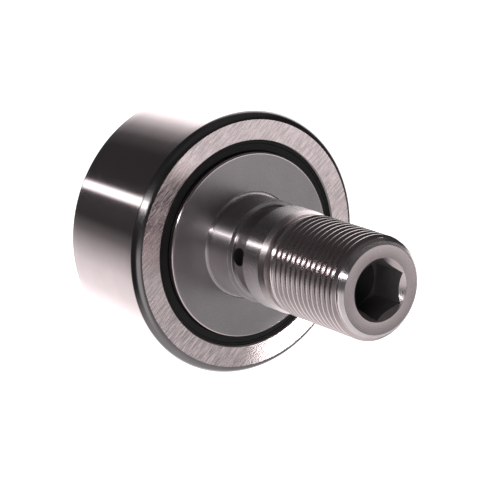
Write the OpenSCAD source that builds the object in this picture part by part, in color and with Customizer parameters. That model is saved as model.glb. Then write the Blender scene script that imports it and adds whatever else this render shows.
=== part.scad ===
// Stud type track roller, or cam follower: a crowned outer ring runs on a full complement of
// needle rollers round a flanged stud. The stud axis is the Y axis, with the thread at its +Y end.
// The origin lies on that axis, at the outer face of the thrust washer, where the shank begins.
// The grease hole in the shank points along +X, and a corner of each hex socket points along +Z.

/* [Outer ring] */
// Outside diameter at the middle of the crown
ring_d = 52; // [51.5:0.1:52.5]
// Width over the two side faces
ring_w = 24; // [23.5:0.1:25]
// Step from the thrust washer's outer face back to the ring's side face
ring_setback = 0.8; // [0.5:0.1:1]
// Radius of the crowned rolling surface
crown_r = 500; // [250:50:1000]
// Axial width of the rounded corner between the rolling surface and a side face
corner_w = 1.7; // [1.2:0.1:2]
// Radial height of the same corner, below the crown's top
corner_h = 1.6; // [1.2:0.1:2]
// Diameter of the counterbores that hold the seals
counterbore_d = 40.5; // [40:0.1:41]

/* [Needle rollers] */
// Number of needles in the full complement
needle_count = 23; // [20:1:23]
// Needle diameter
needle_d = 4; // [3.9:0.02:4]
// Needle length over its rounded ends
needle_l = 18; // [17:0.1:18.1]
// Diameter of the raceway on the stud
inner_race_d = 26; // [26:0.05:26.2]
// Radial clearance between a needle and each raceway
race_gap = 0.04; // [0.02:0.01:0.08]

/* [Stud] */
// Shank diameter
shank_d = 20; // [19.9:0.05:20]
// Length from the washer's outer face to the threaded tip
stud_l = 40.5; // [39:0.5:44]
// Diameter of the flange and of the thrust washer
flange_d = 36.5; // [36:0.1:36.6]
// Step from the ring's side face out to the flange's outer face
flange_step = 0.7; // [0.5:0.1:1]
// Thickness of the flange
flange_t = 3.5; // [3.3:0.1:3.7]
// Thickness of the thrust washer
washer_t = 3.6; // [3.4:0.1:3.6]
// Diameter of the seat that the washer is pressed on
seat_d = 21; // [20.6:0.1:22]

/* [Thread] */
// Diameter over the thread's crests, a little less than the shank
thread_d = 19.68; // [19.6:0.02:19.68]
// Pitch of the metric thread
pitch = 1.5; // [1:0.25:1.5]
// Length of the threaded end, to the tip
thread_l = 21; // [18:0.5:21]
// Size of the 45 degree chamfer at the tip
tip_chamfer = 1.65; // [1:0.05:1.8]

/* [Grease ways] */
// Distance of the shank's grease hole from the washer's outer face
hole_y = 9; // [8:0.25:10]
// Diameter of the shank's grease hole
hole_d = 3.5; // [2.5:0.1:3.6]
// Width of the groove round the shank at that hole
groove_w = 5; // [4.4:0.1:5.4]
// Depth of the groove
groove_h = 0.85; // [0.3:0.05:1]
// Diameter of the duct along the stud's axis
duct_d = 4; // [3:0.1:4]
// Diameter of the duct from there to the raceway
race_hole_d = 3; // [2:0.1:3]

/* [Hex sockets] */
// Width across flats of both sockets
hex_af = 10; // [9.9:0.05:10.1]
// Depth of the socket in the threaded tip
tip_hex_l = 8; // [6:0.5:9]
// Depth of the socket in the flange
flange_hex_l = 6.2; // [6.2:0.1:6.4]
// Mouth diameter of the countersink in front of each socket
countersink_d = 12; // [11.8:0.1:12.6]

/* [Seals] */
// Thickness of the flat part that runs between the ring's shoulder and a thrust face
seal_t = 1.02; // [0.9:0.01:1.05]
// Axial play of that part
seal_play = 0.08; // [0.05:0.01:0.1]
// Clearance of the seal's lip over the flange or washer
lip_gap = 0.04; // [0.03:0.01:0.08]

/* [Grease nipple] */
// Diameter of the drive-in shank
nipple_d = 6; // [5.6:0.1:6]
// Length of the drive-in shank
nipple_l = 4.8; // [4.4:0.1:4.8]
// Diameter of the head
nipple_head_d = 8; // [7.4:0.1:8.4]
// Thickness of the head
nipple_head_t = 1.6; // [1.4:0.1:1.6]
// Diameter of the valve ball
ball_d = 2.4; // [2.2:0.05:2.45]
// Number of active turns of the valve spring
spring_turns = 5; // [3:1:6]

/* [Hidden] */
$fn = 96;
FINE_FN = 360; // the large turned surfaces
PRESS = 0.01;  // radial overlap of parts that are pressed together
BEYOND = 1;    // how far a cutting tool runs past the surface it cuts

// Stations along the stud axis.
ring_out_y = -ring_setback;
ring_in_y = ring_out_y - ring_w;
ring_mid_y = (ring_out_y + ring_in_y) / 2;
flange_out_y = ring_in_y - flange_step;
flange_in_y = flange_out_y + flange_t;
washer_in_y = -washer_t;
thread_y = stud_l - thread_l;
flange_floor_y = flange_out_y + flange_hex_l;
tip_floor_y = stud_l - tip_hex_l;
nipple_end_y = flange_floor_y + nipple_l;

// Radii.
ring_r = ring_d / 2;
flange_r = flange_d / 2;
shank_r = shank_d / 2;
needle_r = needle_d / 2;
inner_race_r = inner_race_d / 2;
pitch_r = inner_race_r + race_gap + needle_r;
outer_race_r = pitch_r + needle_r + race_gap;
counterbore_r = counterbore_d / 2;
hex_r = hex_af / sqrt(3);
rim_r = 0.4; // rounded rims of the flange and the washer
edge = 0.25; // small broken edges

// A seal lies against the thrust face, and the ring's shoulder lies behind it.
seal_out_y = washer_in_y - seal_play;
shoulder_y = seal_out_y - seal_t;

// The basic profile of a metric thread: crests an eighth and roots a quarter of the pitch wide.
// It is rolled on a blank of its pitch diameter, which shows between the shank and the thread.
crest_w = pitch / 8;
root_w = pitch / 4;
flank_w = (pitch - crest_w - root_w) / 2;
thread_h = flank_w / tan(30);
crest_r = thread_d / 2;
root_r = crest_r - thread_h;
blank_r = shank_r - 0.3248 * pitch;
blank_w = 1.9;         // plain length between the shank's chamfer and the first thread groove
blank_chamfer_w = 1.3; // width of that chamfer
tip_r = shank_r - tip_chamfer;
root_end_y = stud_l + tip_r - root_r; // where the tip's chamfer would meet the root
turns = floor((root_end_y - thread_y) / pitch);

// The drill point's cone has a 118 degree tip.
drill_slope = tan(31);
duct_end_y = hole_y + 2;

// The valve ball rests on a 45 degree seat just inside the nipple's inlet.
inlet_r = 0.7;
valve_bore_r = 1.5;
nipple_face_y = flange_floor_y - nipple_head_t;
seat_y = nipple_face_y + 0.7;
ball_r = ball_d / 2;
ball_lift = 0.03;
ball_y = seat_y - inlet_r + ball_r * sqrt(2) + ball_lift;
spring_wire_r = 0.15;
spring_r = 1.05;
spring_gap = 0.02;
spring_y = ball_y + sqrt(pow(ball_r + spring_wire_r, 2) - pow(spring_r, 2)) + spring_gap;
retainer_t = 0.4;
retainer_r = 0.9;
spring_end_y = nipple_end_y - retainer_t - spring_wire_r - spring_gap;

function needle_name(i) = str("needle_", i < 10 ? "0" : "", i);

// Points on an arc about (cx, cy), from angle a to angle b.
function arc(cx, cy, r, a, b, steps = 6) =
    [for (i = [0:steps]) let (t = a + (b - a) * i / steps) [cx + r * cos(t), cy + r * sin(t)]];

// Turns a shape made about Z so that it lies about Y, with its +Z end towards +Y.
module about_y() {
    rotate([-90, 0, 0]) children();
}

// Revolves an outline of [radius, station] points about Y.
module turned(points, fn = FINE_FN) {
    about_y() rotate_extrude($fn = fn) polygon(points);
}

// A round tool along Y, from station a to station b.
module bar_y(r, a, b, fn = $fn) {
    about_y() translate([0, 0, a]) cylinder(r = r, h = b - a, $fn = fn);
}

// A drill's point: a cone that starts at station a and closes towards +Y.
module drill_point(r, a) {
    turned([[0, a], [r, a], [0, a + r * drill_slope]], $fn);
}

module hex_prism(a, b) {
    about_y() translate([0, 0, a]) rotate(90) cylinder(r = hex_r, h = b - a, $fn = 6);
}

// Radius of the crowned rolling surface at station y.
function crown_at(y) = ring_r - crown_r + sqrt(pow(crown_r, 2) - pow(y - ring_mid_y, 2));

// The rounded corner between the crown and the washer-side face, from the crown outwards.
function corner_arc() =
    let (sweep = 56, // the arc's own angle, which leaves a sharp boundary at each end
         crown_end = [crown_at(ring_out_y - corner_w), ring_out_y - corner_w],
         face_end = [ring_r - corner_h, ring_out_y],
         step = face_end - crown_end,
         r = norm(step) / (2 * sin(sweep / 2)),
         lean = atan2(crown_end[0] - face_end[0], face_end[1] - crown_end[1]),
         back = r * cos(sweep / 2),
         centre = (crown_end + face_end) / 2 - back * [cos(lean), sin(lean)])
    arc(centre[0], centre[1], r, lean - sweep / 2, lean + sweep / 2);

// One half of the ring's outline, from the crown's middle round to the raceway's middle.
function ring_half() = concat(
    [for (i = [0:4]) let (y = ring_mid_y + i / 5 * (ring_w / 2 - corner_w)) [crown_at(y), y]],
    corner_arc(),
    [[counterbore_r + edge, ring_out_y], [counterbore_r, ring_out_y - edge],
     [counterbore_r, shoulder_y], [outer_race_r + edge, shoulder_y],
     [outer_race_r, shoulder_y - edge]]
);

module outer_ring() {
    half = ring_half();
    last = len(half) - 1;
    color("silver") turned(concat(
        half, [for (i = [last:-1:1]) [half[i][0], 2 * ring_mid_y - half[i][1]]]
    ));
}

// The seal on the washer's side: a flat running part, a sleeve in the counterbore and a lip.
module seal_shape() {
    lip_r = flange_r + lip_gap;
    sleeve_r = flange_r + 0.75;
    face_y = ring_out_y - 0.5;
    lip_t = 0.9;
    rim = counterbore_r + PRESS;
    turned([
        [outer_race_r + 0.17, shoulder_y], [rim - edge, shoulder_y], [rim, shoulder_y + edge],
        [rim, face_y], [counterbore_r - 0.45, face_y],
        [counterbore_r - 0.6, face_y - 0.15], [sleeve_r, face_y - 0.15],
        [lip_r + 0.12, face_y + 0.05], [lip_r, face_y - 0.1],
        [lip_r, face_y - 0.3], [sleeve_r, face_y - lip_t],
        [sleeve_r, seal_out_y], [outer_race_r + 0.17, seal_out_y]
    ]);
}

module seal_stud_side() {
    color("#26262a") seal_shape();
}

module seal_flange_side() {
    color("#26262a")
    translate([0, 2 * ring_mid_y, 0]) mirror([0, 1, 0]) seal_shape();
}

// The thread as closed ridges: one root, flank and crest for each turn.
function thread_outline() = [
    for (i = [0:turns - 1], p = [
        [root_r, 0], [root_r, root_w], [crest_r, root_w + flank_w], [crest_r, pitch - flank_w]
    ]) [p[0], thread_y + i * pitch + p[1]]
];

// The last root, the flank that rises from it until the tip's chamfer cuts it off, and the tip.
function tip_outline() =
    let (rise = 1 / tan(30),
         last_y = thread_y + turns * pitch,
         foot_y = min(last_y + root_w, root_end_y),
         meet_y = (root_end_y + rise * foot_y) / (1 + rise))
    [[root_r, last_y], [root_r, foot_y], [tip_r + stud_l - meet_y, meet_y],
     [tip_r, stud_l], [0, stud_l]];

// Flange, raceway, washer seat, shank with its groove, and the threaded end, in one outline.
module stud_outline() {
    groove_r = shank_r - groove_h;
    polygon(concat(
        [[0, flange_out_y]],
        arc(flange_r - rim_r, flange_out_y + rim_r, rim_r, -90, 0),
        [[flange_r, flange_in_y - edge], [flange_r - edge, flange_in_y],
         [inner_race_r, flange_in_y], [inner_race_r, washer_in_y - edge],
         [inner_race_r - edge, washer_in_y], [seat_d / 2, washer_in_y],
         [seat_d / 2, -edge], [seat_d / 2 - edge, -edge / 2], [shank_r, -edge / 2],
         [shank_r, hole_y - groove_w / 2], [groove_r, hole_y - groove_w / 2 + edge],
         [groove_r, hole_y + groove_w / 2 - edge], [shank_r, hole_y + groove_w / 2],
         [shank_r, thread_y - blank_w - blank_chamfer_w],
         [blank_r, thread_y - blank_w], [blank_r, thread_y - edge]],
        thread_outline(),
        tip_outline()
    ));
}

module roller_stud() {
    color("gainsboro")
    difference() {
        about_y() rotate_extrude($fn = FINE_FN) stud_outline();
        // Threaded tip: countersink, hex socket and the pilot hole's point.
        turned([[0, stud_l - 1], [countersink_d / 2 - 1, stud_l - 1],
                [countersink_d / 2, stud_l], [countersink_d / 2, stud_l + BEYOND],
                [0, stud_l + BEYOND]], $fn);
        hex_prism(tip_floor_y, stud_l + BEYOND);
        translate([0, 2 * tip_floor_y, 0]) mirror([0, 1, 0])
            drill_point(hex_af / 2 - 0.2, tip_floor_y);
        // Flange: the same, with the nipple's bore at the bottom.
        turned([[0, flange_out_y + 1], [countersink_d / 2 - 1, flange_out_y + 1],
                [countersink_d / 2, flange_out_y], [countersink_d / 2, flange_out_y - BEYOND],
                [0, flange_out_y - BEYOND]], $fn);
        hex_prism(flange_out_y - BEYOND, flange_floor_y);
        bar_y(nipple_d / 2, flange_floor_y - BEYOND, nipple_end_y + 0.2);
        // Grease ways: along the axis, out to the raceway and out to the groove.
        bar_y(duct_d / 2, nipple_end_y, duct_end_y);
        drill_point(duct_d / 2, duct_end_y);
        translate([0, ring_mid_y, 0]) cylinder(d = race_hole_d, h = inner_race_d);
        translate([0, hole_y, 0]) rotate([0, 90, 0]) cylinder(d = hole_d, h = shank_d);
    }
}

module thrust_washer() {
    bore_r = seat_d / 2 - PRESS;
    color("lightgray")
    turned(concat(
        [[bore_r + edge, washer_in_y], [flange_r - edge, washer_in_y],
         [flange_r, washer_in_y + edge]],
        arc(flange_r - rim_r, -rim_r, rim_r, 0, 90),
        [[bore_r + edge / 2, 0], [bore_r, -edge / 2], [bore_r, washer_in_y + edge]]
    ));
}

module grease_nipple() {
    cup_r = 1.7;
    head_r = nipple_head_d / 2;
    shank = nipple_d / 2 + PRESS;
    color("darkgoldenrod")
    turned([
        [inlet_r, nipple_face_y + 0.5], [cup_r, nipple_face_y],
        [head_r - 0.7, nipple_face_y], [head_r, nipple_face_y + 0.7],
        [head_r, flange_floor_y], [shank, flange_floor_y],
        [shank, nipple_end_y - 0.5], [shank - 0.5, nipple_end_y],
        [retainer_r, nipple_end_y], [retainer_r, nipple_end_y - retainer_t],
        [valve_bore_r, nipple_end_y - retainer_t],
        [valve_bore_r, seat_y + valve_bore_r - inlet_r], [inlet_r, seat_y]
    ], $fn);
}

module nipple_ball() {
    color("whitesmoke") translate([0, ball_y, 0]) sphere(r = ball_r, $fn = 48);
}

// A compression spring along Z, its last half turn at each end lying flat.
module coil(r, wire_r, height, active) {
    sides = 6;
    per_turn = 14;
    n = (active + 1) * per_turn;
    function rise(t) = height * min(1, max(0, (t - 0.5) / active));
    rings = [for (i = [0:n]) let (t = i / per_turn, a = 360 * t)
        [for (k = [0:sides - 1]) let (b = 360 * k / sides, q = r + wire_r * cos(b))
            [q * cos(a), q * sin(a), rise(t) + wire_r * sin(b)]]];
    walls = [for (i = [0:n - 1], k = [0:sides - 1]) let (
        a = i * sides + k, b = i * sides + (k + 1) % sides)
        [a, b, b + sides, a + sides]];
    caps = [[for (k = [sides - 1:-1:0]) k], [for (k = [0:sides - 1]) n * sides + k]];
    polyhedron([for (ring = rings) each ring], concat(walls, caps));
}

module nipple_spring() {
    color("silver") translate([0, spring_y, 0])
        about_y() coil(spring_r, spring_wire_r, spring_end_y - spring_y, spring_turns);
}

// Needle i of the complement, with rounded ends. Needle 1 lies straight above the stud.
module needle(i) {
    end_r = 0.6;
    color("lightsteelblue")
    rotate([0, (i - 1) * 360 / needle_count, 0]) translate([0, ring_mid_y, pitch_r])
    turned(concat(
        [[0, -needle_l / 2]], arc(needle_r - end_r, end_r - needle_l / 2, end_r, -90, 0, 4),
        arc(needle_r - end_r, needle_l / 2 - end_r, end_r, 0, 90, 4), [[0, needle_l / 2]]
    ), $fn);
}

outer_ring();
seal_stud_side();
seal_flange_side();
roller_stud();
thrust_washer();
grease_nipple();
nipple_ball();
nipple_spring();
for (i = [1:needle_count]) needle(i);
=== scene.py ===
"""Looks of the stud type track roller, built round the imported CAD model.

The turned pieces are rebuilt as finely rounded meshes on the sizes of the CAD nodes, the thread
becomes a true right-hand helix, and every piece gets a procedural finish.
Outlines are lists of (radius, station along the stud axis, fillet, finish), in millimetres.
"""

import math

import bmesh
import bpy
from mathutils import Matrix, Vector


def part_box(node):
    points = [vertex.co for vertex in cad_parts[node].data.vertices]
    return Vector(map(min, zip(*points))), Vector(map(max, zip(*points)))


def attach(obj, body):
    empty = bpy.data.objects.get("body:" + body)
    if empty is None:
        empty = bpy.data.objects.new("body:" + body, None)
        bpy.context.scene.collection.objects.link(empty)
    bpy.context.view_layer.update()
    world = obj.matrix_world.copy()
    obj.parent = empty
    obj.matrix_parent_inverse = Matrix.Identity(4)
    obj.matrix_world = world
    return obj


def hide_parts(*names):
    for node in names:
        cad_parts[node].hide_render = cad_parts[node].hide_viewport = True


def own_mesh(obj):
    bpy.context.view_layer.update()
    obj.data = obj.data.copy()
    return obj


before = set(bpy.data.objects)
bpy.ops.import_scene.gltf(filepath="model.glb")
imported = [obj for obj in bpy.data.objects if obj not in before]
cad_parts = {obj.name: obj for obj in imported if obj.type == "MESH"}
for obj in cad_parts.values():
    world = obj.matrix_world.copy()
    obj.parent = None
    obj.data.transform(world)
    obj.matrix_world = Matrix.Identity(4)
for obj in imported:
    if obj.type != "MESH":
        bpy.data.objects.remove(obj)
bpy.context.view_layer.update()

MM = 0.001

# ---------------------------------------------------------------- sizes taken from the CAD nodes


def span(node):
    """A node's largest radius and its first and last station, in millimetres."""
    low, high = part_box(node)
    return high.x / MM, low.y / MM, high.y / MM


RING_R, RING_IN_Y, RING_OUT_Y = span("outer_ring")
FLANGE_R, WASHER_IN_Y, WASHER_OUT_Y = span("thrust_washer")
_, SEAL_SHOULDER_Y, SEAL_FACE_Y = span("seal_stud_side")
_, FLANGE_OUT_Y, TIP_Y = span("roller_stud")
_, _, NIPPLE_END_Y = span("grease_nipple")
SPRING_R, SPRING_START_Y, SPRING_END_Y = span("nipple_spring")
RING_MID_Y = (RING_IN_Y + RING_OUT_Y) / 2

# Sizes that part.scad states and a box doesn't show.
CROWN_R = 500.0
CORNER_W, CORNER_H = 1.7, 1.6       # the ring's corner, along the axis and across it
COUNTERBORE_R = 20.25
OUTER_RACE_R, INNER_RACE_R = 17.08, 13.0
FLANGE_T, SEAL_T = 3.5, 1.02
LIP_GAP = 0.04                      # between a seal's lip and the washer or the flange
SHANK_R, SEAT_R = 10.0, 10.5
GROOVE_Y, GROOVE_W, GROOVE_H = 9.0, 5.0, 0.85
GREASE_HOLE_R, DUCT_R, RACE_HOLE_R = 1.75, 2.0, 1.5
PITCH, THREAD_LENGTH, CREST_R = 1.5, 21.0, 9.84
THREAD_Y = TIP_Y - THREAD_LENGTH
TIP_CHAMFER = 1.65
HEX_AF, TIP_HEX_L, FLANGE_HEX_L, COUNTERSINK_R = 10.0, 8.0, 6.2, 6.0
NIPPLE_BORE_R = 3.0
SPRING_WIRE_R, SPRING_TURNS, VALVE_LIFT = 0.15, 5, 0.8
PRESS, EDGE = 0.01, 0.25            # a press fit's overlap, and a small chamfer

# Choices of this file.
RING_SEGMENTS, SEGMENTS = 432, 288  # round the axis
CUTTER_SEGMENTS, DRILL_SEGMENTS = 96, 64
SHARP_DEG = 28                      # edges sharper than this stay crisp
ON_AXIS = 1e-6                      # a radius below this lies on the axis
GRINDING_DEG = 42                   # lean of the ring face's scratches from +Z towards -X

# ---------------------------------------------------------------- outlines


def fillet(before, corner, after, radius, steps=4):
    """The corner's points, rounded to the radius where the two sides leave room for it."""
    a = Vector(before) - Vector(corner)
    b = Vector(after) - Vector(corner)
    half = a.angle(b) / 2
    if radius <= 0 or half > math.radians(89):
        return [tuple(corner)]
    reach = min(radius / math.tan(half), 0.45 * a.length, 0.45 * b.length)
    start = Vector(corner) + a.normalized() * reach
    end = Vector(corner) + b.normalized() * reach
    points = []
    for i in range(steps + 1):
        t = i / steps
        # A quadratic curve through the corner's control point is within a hair of the arc.
        p = start * (1 - t) ** 2 + Vector(corner) * 2 * t * (1 - t) + end * t**2
        points.append(tuple(p))
    return points


def rounded(corners):
    """Outline points and the finish of each stretch, from (radius, station, fillet, finish)."""
    points, finishes = [], []
    count = len(corners)
    for i, (r, y, size, finish) in enumerate(corners):
        before, after = corners[i - 1][:2], corners[(i + 1) % count][:2]
        arc = fillet(before, (r, y), after, size)
        points += arc
        finishes += [finish] * len(arc)
    return points, finishes


def quarter(r, y, size, finish, after):
    """A quarter round at an outer corner. The stretch that follows takes another finish."""
    turns = [math.radians(15 * i) for i in range(7)]
    arc = [(r - size * (1 - math.cos(t)), y - size * (1 - math.sin(t)), 0, finish) for t in turns]
    return arc[:-1] + [(*arc[-1][:3], after)]


def crown(y):
    """Radius of the ring's crowned rolling surface at a station."""
    return RING_R - CROWN_R + math.sqrt(CROWN_R**2 - (y - RING_MID_Y) ** 2)


# ---------------------------------------------------------------- meshes


def on_circle(r, y, angle):
    """A point round the stud axis, in metres. The angle runs from +Z towards +X."""
    return Vector((r * math.sin(angle), y, r * math.cos(angle))) * MM


def spin_faces(bm, points, finishes, segments, closed):
    """Adds the faces of an outline spun about the stud axis."""
    rings = []
    for r, y in points:
        count = 1 if r < ON_AXIS else segments
        rings.append([bm.verts.new(on_circle(r, y, math.tau * k / segments)) for k in range(count)])
    for i in range(len(rings) if closed else len(rings) - 1):
        a, b = rings[i], rings[(i + 1) % len(rings)]
        for k in range(segments):
            n = (k + 1) % segments
            corners = [a[k % len(a)], a[n % len(a)], b[n % len(b)], b[k % len(b)]]
            corners = [v for j, v in enumerate(corners) if v not in corners[:j]]
            bm.faces.new(corners).material_index = finishes[i]


def as_mesh(bm, name):
    """The bmesh as a mesh with outward normals."""
    bmesh.ops.recalc_face_normals(bm, faces=bm.faces)
    mesh = bpy.data.meshes.new(name)
    bm.to_mesh(mesh)
    bm.free()
    return mesh


def turned(name, outline, segments=SEGMENTS):
    """A closed solid of revolution about the stud axis. Outline ends on the axis become poles."""
    points, finishes = outline
    bm = bmesh.new()
    spin_faces(bm, points, finishes, segments, closed=points[0][0] > ON_AXIS)
    return as_mesh(bm, name)


def shown(name, mesh, materials, body, slot, *nodes):
    """A finished piece that stands for the CAD nodes and moves with the body. The slot is not used."""
    for material in materials:
        mesh.materials.append(material)
    mesh.shade_smooth()
    mesh.set_sharp_from_angle(angle=math.radians(SHARP_DEG))
    piece = bpy.data.objects.new(name, mesh)
    bpy.context.scene.collection.objects.link(piece)
    flat = piece.modifiers.new("flat faces stay flat", "WEIGHTED_NORMAL")
    flat.keep_sharp = True
    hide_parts(*nodes)
    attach(piece, body)
    return piece


# ---------------------------------------------------------------- node helpers


class Graph:
    """A node tree with short ways to add and join nodes."""

    def __init__(self, tree):
        self.tree = tree
        tree.nodes.clear()

    def add(self, kind, **settings):
        """A new node with the settings."""
        node = self.tree.nodes.new(kind)
        for key, value in settings.items():
            setattr(node, key, value)
        return node

    def join(self, source, target):
        """A link between two sockets."""
        self.tree.links.new(source, target)

    def put(self, value, target):
        """A link if the value is a socket, and a constant if it isn't."""
        if isinstance(value, bpy.types.NodeSocket):
            self.join(value, target)
        else:
            target.default_value = value

    def math(self, operation, *values):
        """The result of an operation on sockets or constants."""
        node = self.add("ShaderNodeMath", operation=operation)
        for value, target in zip(values, node.inputs):
            self.put(value, target)
        return node.outputs[0]

    def times(self, colour, factor):
        """A colour or vector multiplied by a factor."""
        node = self.add("ShaderNodeVectorMath", operation="SCALE")
        self.put(colour, node.inputs[0])
        self.put(factor, node.inputs["Scale"])
        return node.outputs[0]

    def scaled(self, value, low, high, to_low, to_high):
        """The value's range low to high, mapped and clamped to another range."""
        node = self.add("ShaderNodeMapRange", clamp=True)
        for v, target in zip((value, low, high, to_low, to_high), node.inputs):
            self.put(v, target)
        return node.outputs[0]

    def ramp(self, value, stops):
        """Grey values between stops of (position, grey)."""
        node = self.add("ShaderNodeValToRGB")
        elements = node.color_ramp.elements
        elements[0].position, elements[1].position = stops[0][0], stops[-1][0]
        for position, _ in stops[1:-1]:
            elements.new(position)
        for element, (_, grey) in zip(elements, stops):
            element.color = (grey, grey, grey, 1)
        self.join(value, node.inputs[0])
        return node.outputs[0]

    def mixed(self, factor, a, b):
        """Colour a where the factor is 0, and b where it is 1."""
        node = self.add("ShaderNodeMix", data_type="RGBA")
        self.put(factor, node.inputs[0])
        self.put(a, node.inputs[6])
        self.put(b, node.inputs[7])
        return node.outputs[2]

    def vector(self, a, b, c):
        """A vector of three sockets or constants."""
        node = self.add("ShaderNodeCombineXYZ")
        for value, target in zip((a, b, c), node.inputs):
            self.put(value, target)
        return node.outputs[0]

    def noise(self, place, scale, detail=3.0, w=None, roughness=0.5):
        """Noise between 0 and 1, in four dimensions if w is given."""
        node = self.add("ShaderNodeTexNoise", noise_dimensions="3D" if w is None else "4D")
        self.join(place, node.inputs["Vector"])
        if w is not None:
            self.put(w, node.inputs["W"])
        node.inputs["Scale"].default_value = scale
        node.inputs["Detail"].default_value = detail
        node.inputs["Roughness"].default_value = roughness
        return node.outputs[0]

    def finish(self, shader, height, strength, distance):
        """Joins the shader to the material's output, with bumps of the height."""
        bump = self.add("ShaderNodeBump")
        bump.inputs["Strength"].default_value = strength
        bump.inputs["Distance"].default_value = distance
        self.join(height, bump.inputs["Height"])
        self.join(bump.outputs[0], shader.inputs["Normal"])
        self.join(shader.outputs[0], self.add("ShaderNodeOutputMaterial").inputs[0])


def polar(g):
    """Where a point is: position in metres, then distance from the axis and station in
    millimetres, then the x and z of the unit vector that points away from the axis."""
    place = g.add("ShaderNodeTexCoord").outputs["Object"]
    parts = g.add("ShaderNodeSeparateXYZ")
    g.join(place, parts.inputs[0])
    x, y, z = (g.math("MULTIPLY", parts.outputs[i], 1 / MM) for i in range(3))
    r = g.math("SQRT", g.math("ADD", g.math("MULTIPLY", x, x), g.math("MULTIPLY", z, z)))
    not_zero = g.math("MAXIMUM", r, 0.01)
    return place, r, y, g.math("DIVIDE", x, not_zero), g.math("DIVIDE", z, not_zero)


def turning_marks(g, r, y, ux, uz, across, along):
    """Noise drawn out into lines round the axis: fine across them and slow along them."""
    place = g.vector(g.math("MULTIPLY", r, across), g.math("MULTIPLY", ux, along),
                     g.math("MULTIPLY", uz, along))
    return g.noise(place, 1.0, detail=4.0, w=g.math("MULTIPLY", y, across), roughness=0.65)


def ground_marks(g, r, ux, uz, across=3.2, along=0.26):
    """Noise drawn out along one straight direction across a flat face."""
    lay = math.radians(GRINDING_DEG)
    x, z = g.math("MULTIPLY", r, ux), g.math("MULTIPLY", r, uz)
    u = g.math("ADD", g.math("MULTIPLY", x, math.cos(lay)), g.math("MULTIPLY", z, math.sin(lay)))
    v = g.math("ADD", g.math("MULTIPLY", x, -math.sin(lay)), g.math("MULTIPLY", z, math.cos(lay)))
    place = g.vector(g.math("MULTIPLY", u, across), g.math("MULTIPLY", v, along), 0.0)
    return g.scaled(g.noise(place, 1.0, detail=3.0, roughness=0.7), 0.32, 0.72, 0.0, 1.0)


def new_material(name):
    """An empty material and its graph."""
    material = bpy.data.materials.new(name)
    material.use_nodes = True
    return material, Graph(material.node_tree)


# Noise scales per metre, and the heights of bumps in metres.
STAIN_SCALE, GRAIN_SCALE, PAINTED_GLINT_SCALE = 160.0, 5200.0, 2400.0
PLASTIC_STAIN_SCALE, PLASTIC_GRAIN_SCALE = 240.0, 3800.0
STEEL_BUMP, PLASTIC_BUMP = 4e-6, 1e-5
NOISE_LOW, NOISE_HIGH = 0.3, 0.7    # most of the noise lies between these


def steel(name, colour, rough, across=14.0, along=1.5, spread=0.06, depth=0.3, stain=0.12,
          anisotropic=0.0, speckle=0.0, metallic=1.0, scratches=0.0):
    """Bright steel with turning marks round the axis, slight stains, speckle and, if asked, the
    straight parallel scratches of a flat grinder, with painted glints that brighten its colour in
    small spots."""
    material, g = new_material(name)
    place, r, y, ux, uz = polar(g)
    lines = turning_marks(g, r, y, ux, uz, across, along)
    if scratches:
        lines = g.math("ADD", g.math("MULTIPLY", lines, 1 - scratches),
                       g.math("MULTIPLY", ground_marks(g, r, ux, uz), scratches))
    cloud = g.noise(place, STAIN_SCALE, detail=5.0)
    grain = g.noise(place, GRAIN_SCALE, detail=2.0)
    mark_shade = 0.5 * stain + 0.52 * scratches
    tone = g.scaled(cloud, NOISE_LOW, NOISE_HIGH, 1.0 - stain, 1.0)
    tone = g.math("MULTIPLY", tone, g.scaled(lines, NOISE_LOW, NOISE_HIGH, 1.0 - mark_shade, 1.0))
    tone = g.math("MULTIPLY", tone, g.scaled(grain, 0.35, 0.65, 1.0 - speckle, 1.0))
    if scratches:
        # Small spots of brighter base colour: painted glints on the ground face.
        painted_glints = g.noise(place, PAINTED_GLINT_SCALE, detail=1.0)
        tone = g.math("MULTIPLY", tone, g.scaled(painted_glints, 0.60, 0.68, 1.0, 1.12))
    shader = g.add("ShaderNodeBsdfPrincipled")
    shader.inputs["Metallic"].default_value = metallic
    if metallic < 1:
        shader.inputs["Specular IOR Level"].default_value = 0.25
    g.join(g.times(colour, tone), shader.inputs["Base Color"])
    g.join(g.scaled(lines, NOISE_LOW, NOISE_HIGH, rough - spread, rough + spread),
           shader.inputs["Roughness"])
    if anisotropic:
        # Grinding marks run round the axis, so a highlight spreads along the axis.
        shader.inputs["Anisotropic"].default_value = anisotropic
        shader.inputs["Anisotropic Rotation"].default_value = 0.25
        g.join(g.add("ShaderNodeTangent", direction_type="RADIAL", axis="Y").outputs[0],
               shader.inputs["Tangent"])
    g.finish(shader, g.math("ADD", lines, g.math("MULTIPLY", grain, speckle)), depth, STEEL_BUMP)
    return material


def black_plastic(name):
    """Matt black moulded plastic with a fine grain and a faint sheen."""
    material, g = new_material(name)
    place = g.add("ShaderNodeTexCoord").outputs["Object"]
    cloud = g.noise(place, PLASTIC_STAIN_SCALE)
    grain = g.noise(place, PLASTIC_GRAIN_SCALE)
    shader = g.add("ShaderNodeBsdfPrincipled")
    g.join(g.mixed(cloud, (0.004, 0.004, 0.004, 1), (0.009, 0.008, 0.008, 1)),
           shader.inputs["Base Color"])
    shader.inputs["Specular IOR Level"].default_value = 0.2
    g.join(g.scaled(grain, NOISE_LOW, NOISE_HIGH, 0.38, 0.55), shader.inputs["Roughness"])
    g.finish(shader, grain, 0.25, PLASTIC_BUMP)
    return material


# Base colours of the steel.
WARM = (0.63, 0.535, 0.545)
NEUTRAL = (0.597, 0.55, 0.563)


def toned(share, tint=WARM):
    """A tint darkened or lightened to a share of itself."""
    return tuple(share * c for c in tint)


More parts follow.
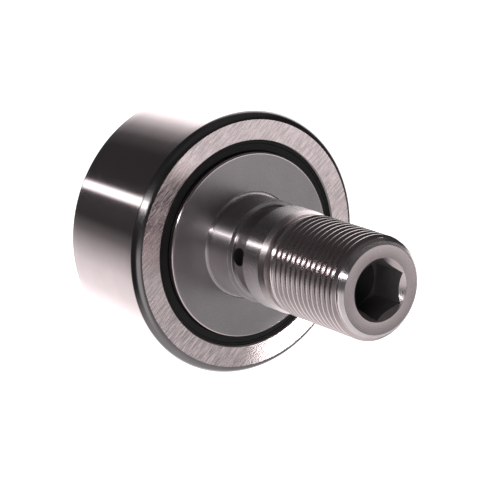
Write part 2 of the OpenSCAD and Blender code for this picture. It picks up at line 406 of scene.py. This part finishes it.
RING_OD = steel("ring_rolling_surface", WARM, 0.10, across=9.0, spread=0.03, depth=0.12, stain=0.06)
RING_CORNER = steel("ring_corner", toned(0.31, NEUTRAL), 0.17, across=7.0, spread=0.04, depth=0.15)
# The ground face's scratches bring painted glints in its base colour.
RING_FACE = steel("ring_ground_face", toned(1.41), 0.27, across=10.0, depth=0.9, speckle=0.12,
                  scratches=0.75)
RING_INSIDE = steel("ring_inside", toned(0.5, NEUTRAL), 0.3, across=6.0)
WASHER_FACE = steel("washer_face", toned(0.6, NEUTRAL), 0.36, across=8.0, depth=0.35, speckle=0.26)
WASHER_EDGE = steel("washer_edge", toned(0.85), 0.2, across=6.0)
SHANK = steel("shank_ground", toned(1.0, NEUTRAL), 0.27, across=9.0, spread=0.004, depth=0.004,
              stain=0.03, anisotropic=1.0)
GROOVE = steel("shank_groove", toned(0.75, NEUTRAL), 0.22, across=5.0, depth=0.4)
THREAD = steel("rolled_thread", toned(0.92), 0.16, across=5.0, along=2.0, spread=0.02, depth=0.1,
               stain=0.06)
TIP = steel("turned_tip", toned(0.72), 0.28, across=7.0, depth=0.5)
# Dark base colour inside the hex sockets: painted shade.
SOCKET_PAINTED_SHADE = steel("hex_socket_painted_shade", toned(0.35, NEUTRAL), 0.36, across=4.0, along=5.0, depth=0.5, stain=0.3,
               metallic=0.7)
# Near-black, non-metal base colour in the drilled grease ways: painted shade inside the holes.
DUCT_PAINTED_SHADE = steel("drilled_ways_painted_shade", toned(0.03), 0.6, across=4.0, along=3.0, depth=0.5, stain=0.3,
             metallic=0.0)
NEEDLE = steel("needle_steel", toned(0.95), 0.16, across=6.0)
NIPPLE = steel("nipple_steel", (0.52, 0.42, 0.24), 0.3, across=6.0, stain=0.2)
SPRING = steel("spring_steel", toned(0.8), 0.3, across=6.0)
SEAL = black_plastic("seal_black")

# ---------------------------------------------------------------- outer ring

CORNER_SWEEP_DEG = 56   # how far the arc of the corner turns
CROWN_STEPS = 5         # in half the ring's width


def corner_arc(steps=10):
    """The arc between the crown and the washer-side face. Both of its ends stay crisp."""
    sweep = math.radians(CORNER_SWEEP_DEG)
    start = Vector((crown(RING_OUT_Y - CORNER_W), RING_OUT_Y - CORNER_W))
    end = Vector((RING_R - CORNER_H, RING_OUT_Y))
    step = end - start
    r = step.length / (2 * math.sin(sweep / 2))
    lean = math.atan2(start.x - end.x, end.y - start.y)
    centre = (start + end) / 2 - Vector((math.cos(lean), math.sin(lean))) * r * math.cos(sweep / 2)
    angles = [lean - sweep / 2 + sweep * i / steps for i in range(steps + 1)]
    return [(centre.x + r * math.cos(a), centre.y + r * math.sin(a)) for a in angles]


def ring_outline():
    """The ring's outline: crown, corner, face, counterbore, shoulder and raceway, both ways."""
    od, corner, face, inside = range(4)
    half_w = (RING_OUT_Y - RING_IN_Y) / 2
    arc = corner_arc()
    stations = (RING_MID_Y + (half_w - CORNER_W) * i / CROWN_STEPS for i in range(CROWN_STEPS))
    half = [(crown(y), y, 0, od) for y in stations]
    half += [(r, y, 0, corner) for r, y in arc[:-1]]
    half += [
        (*arc[-1], 0.12, face), (COUNTERBORE_R + EDGE, RING_OUT_Y, 0.06, inside),
        (COUNTERBORE_R, RING_OUT_Y - EDGE, 0.06, inside),
        (COUNTERBORE_R, SEAL_SHOULDER_Y, 0, inside),
        (OUTER_RACE_R + EDGE, SEAL_SHOULDER_Y, 0.05, inside),
        (OUTER_RACE_R, SEAL_SHOULDER_Y - EDGE, 0.05, inside),
    ]
    # On the mirrored way back, each stretch takes the finish of the stretch it mirrors.
    back = []
    for i in range(len(half) - 1, 0, -1):
        r, y, size, _ = half[i]
        back.append((r, 2 * RING_MID_Y - y, size, half[i - 1][3]))
    return rounded(half + back)


shown("outer_ring_finished", turned("outer_ring_finished", ring_outline(), RING_SEGMENTS),
      [RING_OD, RING_CORNER, RING_FACE, RING_INSIDE], "ring", "ring_steel", "outer_ring")

# ---------------------------------------------------------------- thrust washer and seals

WASHER_RIM = 0.45   # radius of the washer's shiny rim


def washer_outline():
    """The washer's section, with a shiny rim round its outer face."""
    face, edge = range(2)
    bore_r = SEAT_R - PRESS
    return rounded([
        (bore_r + EDGE, WASHER_IN_Y, 0.05, face), (FLANGE_R - EDGE, WASHER_IN_Y, 0.08, edge),
        (FLANGE_R, WASHER_IN_Y + EDGE, 0.08, edge),
        *quarter(FLANGE_R, WASHER_OUT_Y, WASHER_RIM, edge, face),
        (bore_r + EDGE / 2, WASHER_OUT_Y, 0.04, edge), (bore_r, WASHER_OUT_Y - EDGE / 2, 0.04, edge),
        (bore_r, WASHER_IN_Y + EDGE, 0.05, edge),
    ])


shown("thrust_washer_finished", turned("thrust_washer_finished", washer_outline()),
      [WASHER_FACE, WASHER_EDGE], "stud", "washer_steel", "thrust_washer")

SEAL_CLEARANCE = 0.17       # how far the running part stays outside the raceway's radius
SEAL_RIM_W, LIP_W = 0.45, 0.75
LIP_BEVEL, LIP_LAND_END = 0.12, 0.3     # below the seal's face
DISH_H, LIP_H = 0.15, 0.9   # depth of the dish between rim and lip, and the lip's whole height


def seal_outline():
    """The seal's section: flat running part, sleeve in the counterbore and lip at the washer."""
    inner_r, rim_r = OUTER_RACE_R + SEAL_CLEARANCE, COUNTERBORE_R + PRESS
    dish_r, sleeve_r, lip_r = COUNTERBORE_R - SEAL_RIM_W, FLANGE_R + LIP_W, FLANGE_R + LIP_GAP
    face_y, thrust_y = SEAL_FACE_Y, SEAL_SHOULDER_Y + SEAL_T
    return [
        (inner_r, SEAL_SHOULDER_Y, 0.05, 0), (rim_r - EDGE, SEAL_SHOULDER_Y, 0.05, 0),
        (rim_r, SEAL_SHOULDER_Y + EDGE, 0.05, 0), (rim_r, face_y, 0.06, 0),
        (dish_r, face_y, 0.08, 0), (dish_r - DISH_H, face_y - DISH_H, 0.06, 0),
        (sleeve_r, face_y - DISH_H, 0.1, 0), (lip_r + LIP_BEVEL, face_y, 0.04, 0),
        (lip_r, face_y - LIP_BEVEL, 0.03, 0), (lip_r, face_y - LIP_LAND_END, 0.03, 0),
        (sleeve_r, face_y - LIP_H, 0.1, 0), (sleeve_r, thrust_y, 0.1, 0),
        (inner_r, thrust_y, 0.05, 0),
    ]


def flipped(corners):
    """The same section mirrored at the ring's middle."""
    return [(r, 2 * RING_MID_Y - y, size, finish) for r, y, size, finish in reversed(corners)]


for node, corners in (("seal_stud_side", seal_outline()),
                      ("seal_flange_side", flipped(seal_outline()))):
    name = node + "_finished"
    shown(name, turned(name, rounded(corners)), [SEAL], "ring", "seal_plastic", node)

# ---------------------------------------------------------------- roller stud

S_SHANK, S_GROOVE, S_THREAD, S_TIP, S_SOCKET, S_DUCT, S_RACE, S_FLANGE = range(8)
STUD_FINISHES = [SHANK, GROOVE, THREAD, TIP, SOCKET_PAINTED_SHADE, DUCT_PAINTED_SHADE, RING_INSIDE, WASHER_FACE]
BLANK_R = SHANK_R - 0.3248 * PITCH                      # the thread's pitch radius
CREST_W, ROOT_W = PITCH / 8, PITCH / 4                  # flats of the ISO profile
FLANK_W = (PITCH - CREST_W - ROOT_W) / 2
ROOT_R = CREST_R - FLANK_W / math.tan(math.radians(30))
ROOT_FILLET, CREST_FILLET, PROFILE_STEP = 0.16, 0.03, 0.16
HELIX_FROM, HELIX_TO = THREAD_Y - 0.6, TIP_Y - 0.6
FACING_TURN = 0.2       # where round the axis the helix's crests meet the CAD's closed ridges
RUN_IN = 1.3            # length over which the thread reaches its full depth
NECK_FROM, NECK_TO = THREAD_Y - 3.2, THREAD_Y - 1.9     # the cone from the shank to the blank
FLANGE_IN_Y = FLANGE_OUT_Y + FLANGE_T
DRILL_SLOPE = math.tan(math.radians(31))                # of a drill point's cone
OVERSHOOT = 1.0         # how far a cutting tool stands out of the stud
WELD, END_WELD, AT_END = 0.0002, 0.002, 0.0001          # how close vertices count as one place


def chamfer(y):
    """Radius of the tip's 45 degree chamfer at a station."""
    return SHANK_R - TIP_CHAMFER + TIP_Y - y


def stud_outline():
    """The stud's outline with a plain cone in the helix's place, which is swapped for it later."""
    groove_from, groove_to = GROOVE_Y - GROOVE_W / 2, GROOVE_Y + GROOVE_W / 2
    groove_r = SHANK_R - GROOVE_H
    floor_r = HEX_AF / 2 - 0.03     # the sockets' countersinks end just inside the flats
    sink = COUNTERSINK_R - floor_r
    return rounded([
        (0, FLANGE_OUT_Y + sink, 0, S_TIP), (floor_r, FLANGE_OUT_Y + sink, 0, S_TIP),
        (COUNTERSINK_R, FLANGE_OUT_Y, 0.10, S_FLANGE), (FLANGE_R, FLANGE_OUT_Y, 0.45, S_FLANGE),
        (FLANGE_R, FLANGE_IN_Y - EDGE, 0.06, S_FLANGE), (FLANGE_R - EDGE, FLANGE_IN_Y, 0.06, S_FLANGE),
        (INNER_RACE_R, FLANGE_IN_Y, 0.05, S_RACE), (INNER_RACE_R, WASHER_IN_Y - EDGE, 0.05, S_RACE),
        (INNER_RACE_R - EDGE, WASHER_IN_Y, 0.05, S_RACE), (SEAT_R, WASHER_IN_Y, 0.05, S_RACE),
        (SEAT_R, -EDGE, 0.05, S_SHANK), (SEAT_R - EDGE, -EDGE / 2, 0.04, S_SHANK),
        (SHANK_R, -EDGE / 2, 0.05, S_SHANK), (SHANK_R, groove_from, 0.10, S_GROOVE),
        (groove_r, groove_from + EDGE, 0.15, S_GROOVE), (groove_r, groove_to - EDGE, 0.15, S_GROOVE),
        (SHANK_R, groove_to, 0.10, S_SHANK), (SHANK_R, NECK_FROM, 0.2, S_TIP),
        (BLANK_R, NECK_TO, 0.3, S_TIP), (BLANK_R, HELIX_FROM, 0, S_THREAD),
        (chamfer(HELIX_TO), HELIX_TO, 0, S_SHANK), (chamfer(TIP_Y), TIP_Y, 0.12, S_TIP),
        (COUNTERSINK_R, TIP_Y, 0.10, S_TIP), (floor_r, TIP_Y - sink, 0, S_TIP),
        (0, TIP_Y - sink, 0, S_TIP),
    ])


def cutter(outline, finish):
    """A tool that leaves the finish: an outline of plain corners spun about the axis."""
    return turned("cutter", rounded([(r, y, 0, finish) for r, y in outline]), CUTTER_SEGMENTS)


def hex_key(low, high):
    """A hexagonal tool along the axis, with a corner towards +Z."""
    bm = bmesh.new()
    r = HEX_AF / math.sqrt(3)
    spin_faces(bm, [(0, low), (r, low), (r, high), (0, high)], [S_SOCKET] * 4, 6, closed=False)
    return as_mesh(bm, "cutter")


def drill(r, station, direction, length):
    """A round tool from the axis out along a direction."""
    bm = bmesh.new()
    bmesh.ops.create_cone(bm, cap_ends=True, segments=DRILL_SEGMENTS, radius1=r * MM,
                          radius2=r * MM, depth=length * MM)
    turn = Vector((0, 0, 1)).rotation_difference(direction).to_matrix().to_4x4()
    middle = Vector((0, station, 0)) * MM + direction * length * MM / 2
    bm.transform(Matrix.Translation(middle) @ turn)
    for face in bm.faces:
        face.material_index = S_DUCT
    return as_mesh(bm, "cutter")


def stud_cutters():
    """The grease ways, the nipple's bore, and the hex sockets with the drill point in one."""
    tip_floor, flange_floor = TIP_Y - TIP_HEX_L, FLANGE_OUT_Y + FLANGE_HEX_L
    point_r, duct_end, bore_end = HEX_AF / 2 - 0.2, GROOVE_Y + DUCT_R, NIPPLE_END_Y + 0.2
    below, above = FLANGE_OUT_Y - 2 * OVERSHOOT, TIP_Y + 2 * OVERSHOOT
    return [
        cutter([(0, below), (NIPPLE_BORE_R, below), (NIPPLE_BORE_R, bore_end), (DUCT_R, bore_end),
                (DUCT_R, duct_end), (0, duct_end + DUCT_R * DRILL_SLOPE)], S_DUCT),
        drill(RACE_HOLE_R, RING_MID_Y, Vector((0, 0, 1)), INNER_RACE_R + OVERSHOOT),
        drill(GREASE_HOLE_R, GROOVE_Y, Vector((1, 0, 0)), SHANK_R + OVERSHOOT),
        cutter([(0, tip_floor - point_r * DRILL_SLOPE), (point_r, tip_floor), (point_r, above),
                (0, above)], S_DUCT),
        hex_key(tip_floor, TIP_Y + OVERSHOOT),
        hex_key(FLANGE_OUT_Y - OVERSHOOT, flange_floor),
    ]


def cut(mesh, tools):
    """The mesh less the tools, each taken away exactly."""
    body, *blocks = (bpy.data.objects.new("blank", part) for part in (mesh, *tools))
    for made in (body, *blocks):
        bpy.context.scene.collection.objects.link(made)
        for finish in STUD_FINISHES:
            made.data.materials.append(finish)
    for block in blocks:
        away = body.modifiers.new("cut", "BOOLEAN")
        away.operation, away.solver, away.object = "DIFFERENCE", "EXACT", block
    done = bpy.data.meshes.new_from_object(
        body.evaluated_get(bpy.context.evaluated_depsgraph_get()))
    for made in (body, *blocks):
        bpy.data.objects.remove(made)
    return done


def thread_profile():
    """One turn of the thread: (way along the axis, radius), its roots and crests rounded off."""
    corners = [(-FLANK_W, CREST_R), (0, ROOT_R), (ROOT_W, ROOT_R), (ROOT_W + FLANK_W, CREST_R),
               (PITCH - FLANK_W, CREST_R), (PITCH, ROOT_R)]
    points = []
    for before, corner, after in zip(corners, corners[1:], corners[2:]):
        size = ROOT_FILLET if corner[1] == ROOT_R else CREST_FILLET
        points += fillet(before, corner, after, size, steps=3)
    first_y, first_r = points[0]
    dense = []
    for a, b in zip(points, points[1:] + [(first_y + PITCH, first_r)]):
        parts = max(1, math.ceil(math.dist(a, b) / PROFILE_STEP))
        dense += [(a[0] + (b[0] - a[0]) * i / parts, a[1] + (b[1] - a[1]) * i / parts)
                  for i in range(parts)]
    return dense


def add_helix(bm, segments=SEGMENTS):
    """A right-hand thread between two plain rings: it runs in from the blank and out at the tip."""
    profile = thread_profile()
    per_turn = len(profile)
    spare = 3       # turns beyond the two ends, whose points are pressed onto the end rings
    turns = math.ceil((HELIX_TO - HELIX_FROM) / PITCH) + spare
    start = THREAD_Y - PITCH * (spare + FACING_TURN)
    columns = []
    for k in range(segments):
        column = []
        for i in range(turns * per_turn):
            along, r = profile[i % per_turn]
            y = start + PITCH * (i // per_turn + k / segments) + along
            depth = min(1.0, max(0.0, (y - HELIX_FROM) / RUN_IN))
            r = min(BLANK_R + (r - BLANK_R) * depth, chamfer(y))
            y = min(max(y, HELIX_FROM), HELIX_TO)
            if y == HELIX_TO:
                r = chamfer(y)
            column.append(bm.verts.new(on_circle(r, y, math.tau * k / segments)))
        columns.append(column)
    last = turns * per_turn - 1
    for k in range(segments):
        shift = per_turn if k == segments - 1 else 0
        a, b = columns[k], columns[(k + 1) % segments]
        for i in range(last):
            if i + 1 + shift <= last:
                corners = (a[i], b[i + shift], b[i + 1 + shift], a[i + 1])
                bm.faces.new(corners).material_index = S_THREAD


def stud_mesh():
    """The cut stud with its cone swapped for the helix."""
    bm = bmesh.new()
    bm.from_mesh(cut(turned("blank", stud_outline()), stud_cutters()))
    cone = [f for f in bm.faces if f.material_index == S_THREAD]
    bmesh.ops.delete(bm, geom=cone, context="FACES")
    made_before = set(bm.verts)
    add_helix(bm)
    added = [v for v in bm.verts if v not in made_before]
    bmesh.ops.remove_doubles(bm, verts=added, dist=WELD * MM)
    ends = [v for v in bm.verts if v.is_boundary
            and min(abs(v.co.y / MM - HELIX_FROM), abs(v.co.y / MM - HELIX_TO)) < AT_END]
    bmesh.ops.remove_doubles(bm, verts=ends, dist=END_WELD * MM)
    return as_mesh(bm, "roller_stud_finished")


stud = shown("roller_stud_finished", stud_mesh(), STUD_FINISHES, "stud", "stud_steel",
             "roller_stud")
for polygon in stud.data.polygons:
    if polygon.material_index in (S_SOCKET, S_DUCT):
        polygon.use_smooth = False

# ---------------------------------------------------------------- valve spring


def spring_mesh(sides=14, per_turn=40):
    """A compression spring of round wire, its last half turn at each end lying flat."""
    wire_r = SPRING_WIRE_R
    mean_r = SPRING_R - wire_r
    low, high = SPRING_START_Y + wire_r, SPRING_END_Y - wire_r
    steps = (SPRING_TURNS + 1) * per_turn
    bm = bmesh.new()
    rings = []
    for i in range(steps + 1):
        t = i / per_turn
        y = low + (high - low) * min(1, max(0, (t - 0.5) / SPRING_TURNS))
        rings.append([
            bm.verts.new(on_circle(mean_r + wire_r * math.cos(b), y + wire_r * math.sin(b),
                                   math.tau * t))
            for b in (math.tau * k / sides for k in range(sides))
        ])
    for a, b in zip(rings, rings[1:]):
        for k in range(sides):
            n = (k + 1) % sides
            bm.faces.new((a[k], a[n], b[n], b[k]))
    bm.faces.new(rings[0])
    bm.faces.new(rings[-1])
    return as_mesh(bm, "nipple_spring_finished")


spring = shown("nipple_spring_finished", spring_mesh(), [SPRING], "stud", "spring_steel",
               "nipple_spring")
# The ball presses the spring against its far end.
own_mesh(spring)

# ---------------------------------------------------------------- CAD nodes that show as they are

finishes = {name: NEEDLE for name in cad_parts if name.startswith("needle_")}
finishes |= {"nipple_ball": NEEDLE, "grease_nipple": NIPPLE}
for name, finish in finishes.items():
    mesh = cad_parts[name].data
    mesh.materials.clear()
    mesh.materials.append(finish)
    for polygon in mesh.polygons:
        polygon.material_index = 0

# ---------------------------------------------------------------- floor

FLOOR_REACH, FLOOR_GAP = 6.0, 0.0002    # half its width, and its distance below the ring, in metres


def floor_material():
    """Pale matt paint that also gives off light, so the background stays nearly white."""
    material, g = new_material("pale_floor")
    paint = g.add("ShaderNodeBsdfDiffuse")
    paint.inputs["Color"].default_value = (0.9, 0.9, 0.9, 1)
    glow = g.add("ShaderNodeEmission")
    glow.inputs["Strength"].default_value = 0.95
    both = g.add("ShaderNodeAddShader")
    g.join(paint.outputs[0], both.inputs[0])
    g.join(glow.outputs[0], both.inputs[1])
    g.join(both.outputs[0], g.add("ShaderNodeOutputMaterial").inputs[0])
    return material


def floor_mesh():
    """One large square."""
    bm = bmesh.new()
    bmesh.ops.create_grid(bm, x_segments=1, y_segments=1, size=FLOOR_REACH)
    mesh = as_mesh(bm, "floor")
    mesh.materials.append(floor_material())
    return mesh


floor = bpy.data.objects.new("floor", floor_mesh())
floor.location.z = -RING_R * MM - FLOOR_GAP
bpy.context.scene.collection.objects.link(floor)
floor.visible_glossy = False
# The lamp and part of the studio's light come from below the floor's level.
floor.visible_shadow = False

# ---------------------------------------------------------------- studio light

# The studio is a world of soft light round the part, in stops of (angle or height, brightness).
# Angles are round the stud axis, in degrees from straight up towards +X. A height is the z of a
# direction's unit vector.
BRIGHTEST = 3.0
BEHIND = [(-180, 1.8), (-95, 1.8), (-80, 2.4), (-40, 2.4), (-22, 1.8), (-12, 0.90), (-2, 0.38),
          (10, 0.10), (24, 0.04), (60, 0.04), (80, 0.06), (96, 0.05), (108, 0.2), (120, 0.55),
          (138, 1.1), (160, 1.35), (178, 1.9)]
IN_FRONT = [(-1, 1.2), (-0.85, 0.95), (-0.6, 0.5), (-0.3, 0.3), (0.05, 0.10), (0.5, 0.05),
            (0.65, 0.06), (0.75, 0.12), (1, 0.12)]
# Two boxes stand in front, turned from +Y towards +X by an angle: a tall one and a low one.
TALL_BOX = {"turn_deg": -36.0, "half_deg": 18.0, "low": -0.6, "high": 0.3}
TALL_BOX_LIGHT = [(-1, 0.3), (-0.3, 0.36), (-0.22, 0.52), (-0.14, 1.3), (-0.05, 1.5), (1, 1.5)]
LOW_BOX = {"turn_deg": 42.0, "half_deg": 18.0, "low": -0.9, "high": -0.2}
LOW_BOX_LIGHT = 1.4
SIDE_LIGHT = 0.07           # beside the low box, where it is dark
# A strip light lies along the stud on the +X side. Its part in front is narrower and brighter.
STRIP = [(-180, 0.0), (63, 0.0), (66, 3.0), (70, 3.0), (73, 0.0), (180, 0.0)]
NARROW_STRIP = [(-180, 0.0), (67, 0.0), (68.5, 3.0), (70.5, 3.0), (72, 0.0), (180, 0.0)]
NARROW_STRIP_GAIN = 7.0
SIDE_EDGE, TOP_EDGE, FOOT_EDGE = 0.2, 0.08, 0.1     # softness of the boxes' edges
BACKGROUND = 1.05           # what the camera sees beyond the floor


def even(brightness):
    """The grey of an even light."""
    grey = brightness / BRIGHTEST
    return grey, grey, grey, 1


class Studio(Graph):
    """The world's nodes, with each direction's x, y and z and the angles worked out from them."""

    def __init__(self, tree):
        super().__init__(tree)
        parts = self.add("ShaderNodeSeparateXYZ")
        self.join(self.add("ShaderNodeTexCoord").outputs["Generated"], parts.inputs[0])
        self.x, self.y, self.z = parts.outputs
        round_axis = self.math("ARCTAN2", self.x, self.z)
        self.turn = self.scaled(round_axis, -math.pi, math.pi, 0.0, 1.0)
        self.height = self.scaled(self.z, -1.0, 1.0, 0.0, 1.0)
        self.side = self.math("ARCTAN2", self.x, self.y)

    def by_turn(self, stops):
        """Light by the angle round the stud axis."""
        return self.ramp(self.turn, [((a + 180) / 360, v / BRIGHTEST) for a, v in stops])

    def by_height(self, stops):
        """Light by the height."""
        return self.ramp(self.height, [((h + 1) / 2, v / BRIGHTEST) for h, v in stops])

    def inside(self, turn_deg, half_deg, low, high):
        """How far a direction in front lies inside a box with soft edges, from 0 to 1."""
        half = math.radians(half_deg)
        off = self.math("ABSOLUTE", self.math("SUBTRACT", self.side, math.radians(turn_deg)))
        across = self.scaled(off, (1 - SIDE_EDGE) * half, (1 + SIDE_EDGE) * half, 1.0, 0.0)
        below_top = self.scaled(self.z, high - TOP_EDGE, high + TOP_EDGE, 1.0, 0.0)
        above_foot = self.scaled(self.z, low - FOOT_EDGE, low + FOOT_EDGE, 0.0, 1.0)
        return self.math("MULTIPLY", across, self.math("MULTIPLY", below_top, above_foot))

    def in_front(self):
        """Dark above and dim below, darker beside the low box, with the two boxes."""
        aside = self.scaled(self.side, math.radians(50), math.radians(75), 0.0, 1.0)
        not_below = self.scaled(self.z, -0.9, -0.6, 0.0, 1.0)
        dark_side = self.math("MULTIPLY", aside, not_below)
        light = self.mixed(dark_side, self.by_height(IN_FRONT), even(SIDE_LIGHT))
        light = self.mixed(self.inside(**TALL_BOX), light, self.by_height(TALL_BOX_LIGHT))
        return self.mixed(self.inside(**LOW_BOX), light, even(LOW_BOX_LIGHT))

    def strip(self):
        """The strip light, which fades out beyond the stud's tip."""
        gain = self.scaled(self.y, 0.7, 0.8, NARROW_STRIP_GAIN, 0.0)
        narrow = self.times(self.by_turn(NARROW_STRIP), gain)
        return self.mixed(self.scaled(self.y, -0.3, -0.2, 0.0, 1.0), self.by_turn(STRIP), narrow)

    def light(self):
        """All the light of the studio, as a share of the brightest."""
        reach = self.scaled(self.x, -0.4, 0.0, -0.2, 0.0)   # the -X side reaches further forward
        forward = self.scaled(self.math("ADD", self.y, reach), -0.62, -0.42, 0.0, 1.0)
        brighter = self.add("ShaderNodeVectorMath", operation="MAXIMUM")
        soft = self.mixed(forward, self.by_turn(BEHIND), self.in_front())
        self.join(soft, brighter.inputs[0])
        self.join(self.strip(), brighter.inputs[1])
        return brighter.outputs[0]

    def background(self, colour, strength):
        """A background shader."""
        node = self.add("ShaderNodeBackground")
        self.put(colour, node.inputs["Color"])
        node.inputs["Strength"].default_value = strength
        return node.outputs[0]


def studio_world():
    """A world that lights the part with the studio and shows the camera plain white."""
    world = bpy.data.worlds.new("studio")
    world.use_nodes = True
    g = Studio(world.node_tree)
    choice = g.add("ShaderNodeMixShader")
    g.join(g.add("ShaderNodeLightPath").outputs["Is Camera Ray"], choice.inputs[0])
    g.join(g.background(g.light(), BRIGHTEST), choice.inputs[1])
    g.join(g.background((1, 1, 1, 1), BACKGROUND), choice.inputs[2])
    g.join(choice.outputs[0], g.add("ShaderNodeOutputWorld").inputs[0])
    return world


bpy.context.scene.world = studio_world()

# A narrow lamp stands where the ring's flat face sends its light to the camera.
GLINT_DIRECTION = Vector((-0.581, 0.790, -0.195)).normalized()
GLINT_SPOT = Vector((-17.0, -0.8, -24.0)) * MM
GLINT_DISTANCE, GLINT_R, LAMP_R = 500.0, 10.0, 3.0      # from lamp to face, lit spot, lamp
GLINT_WATTS, GLINT_BLEND = 0.45, 0.12

lamp_data = bpy.data.lights.new("glint_lamp", "SPOT")
lamp_data.energy, lamp_data.shadow_soft_size = GLINT_WATTS, LAMP_R * MM
lamp_data.spot_size, lamp_data.spot_blend = 2 * math.atan(GLINT_R / GLINT_DISTANCE), GLINT_BLEND
lamp = bpy.data.objects.new("glint_lamp", lamp_data)
bpy.context.scene.collection.objects.link(lamp)
lamp.location = GLINT_SPOT + GLINT_DIRECTION * GLINT_DISTANCE * MM
lamp.rotation_mode = "QUATERNION"
lamp.rotation_quaternion = (-GLINT_DIRECTION).to_track_quat("-Z", "Y")

# ---------------------------------------------------------------- camera

# A long lens stands on the thread side, above the stud and towards +X.
CAMERA_AT = Vector((278.144, 377.850, 92.069)) * MM
LOOKS_AT = Vector((0.144, 0.127, -0.948)) * MM
CAMERA_ROLL_DEG = 4.485
LENS, SENSOR_W = 178.306, 36.0          # millimetres
CLIP_START, CLIP_END = 0.01, 50.0       # metres

camera_data = bpy.data.cameras.new("camera")
camera_data.lens, camera_data.sensor_width = LENS, SENSOR_W
camera_data.clip_start, camera_data.clip_end = CLIP_START, CLIP_END
camera = bpy.data.objects.new("camera", camera_data)
bpy.context.scene.collection.objects.link(camera)
facing = (LOOKS_AT - CAMERA_AT).to_track_quat("-Z", "Y").to_matrix().to_4x4()
roll = Matrix.Rotation(math.radians(CAMERA_ROLL_DEG), 4, "Z")
camera.matrix_world = Matrix.Translation(CAMERA_AT) @ facing @ roll
bpy.context.scene.camera = camera
bpy.context.scene.view_settings.view_transform = "Standard"
